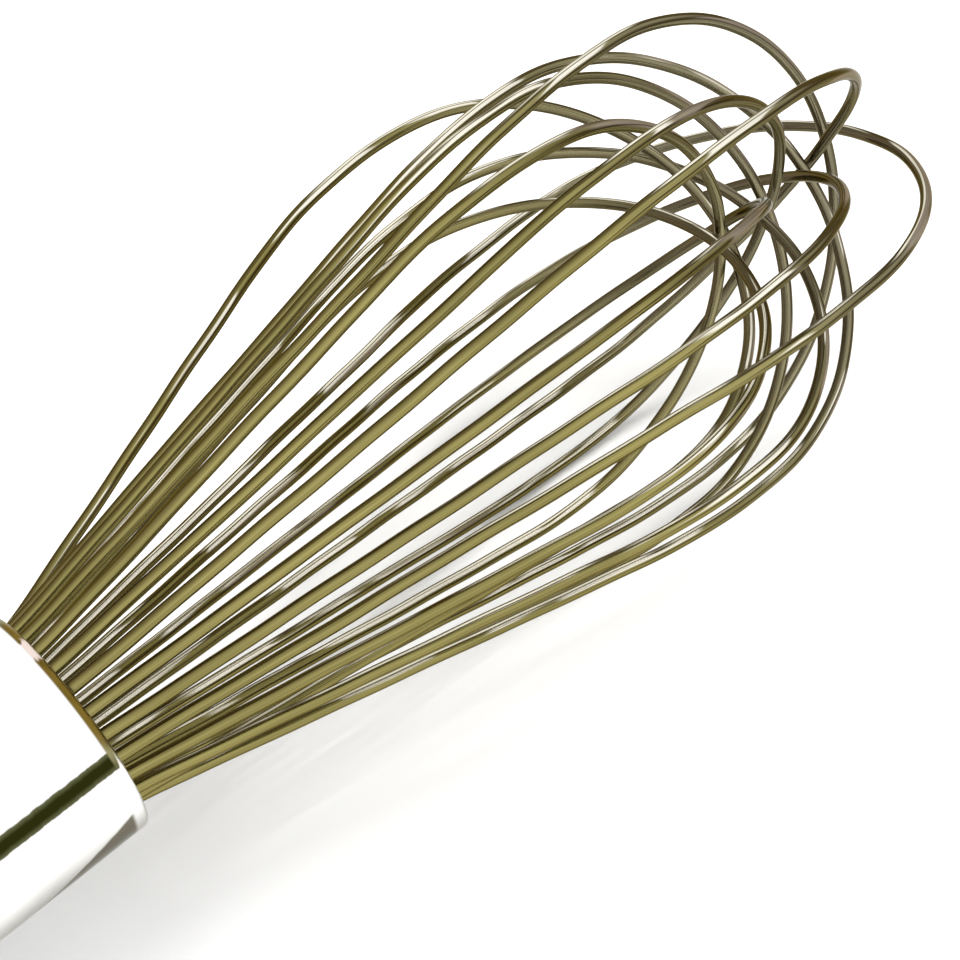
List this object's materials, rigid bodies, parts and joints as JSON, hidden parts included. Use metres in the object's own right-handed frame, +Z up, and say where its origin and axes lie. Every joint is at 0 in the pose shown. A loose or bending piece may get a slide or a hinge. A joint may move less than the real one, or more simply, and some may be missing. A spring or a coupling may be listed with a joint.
{
  "type": "balloon whisk",
  "caption": "Balloon whisk with a round cage of crossing sprung wire loops, a polished tube handle, and a closed end with a wire hanging loop.",
  "frame": {"origin": "centre of the handle's mouth, where the wires leave the tube", "axes": "+X along the whisk towards the cage's tip, -X along the handle, +Z up with the whisk lying flat"},
  "size_m": [0.3139, 0.0719, 0.0731],
  "materials": {
    "cage_wire": "bright drawn stainless spring wire",
    "handle": "mirror-polished stainless steel",
    "guide": "dull machined steel",
    "resin": "cast epoxy resin",
    "cork": "pressed cork"
  },
  "bodies": {
    "root": {"wire_loop_01": "cage_wire", "wire_loop_02": "cage_wire", "wire_loop_03": "cage_wire", "wire_loop_04": "cage_wire", "wire_loop_05": "cage_wire", "wire_loop_06": "cage_wire", "wire_loop_07": "cage_wire", "wire_loop_08": "cage_wire", "wire_loop_09": "cage_wire", "wire_loop_10": "cage_wire", "wire_loop_11": "cage_wire", "wire_loop_12": "cage_wire", "handle_tube": "handle", "wire_guide": "guide", "resin_plug": "resin", "resin_stop": "cork", "end_cap": "handle", "hanging_loop": "cage_wire", "loop_anchor": "guide"}
  },
  "joints": []
}
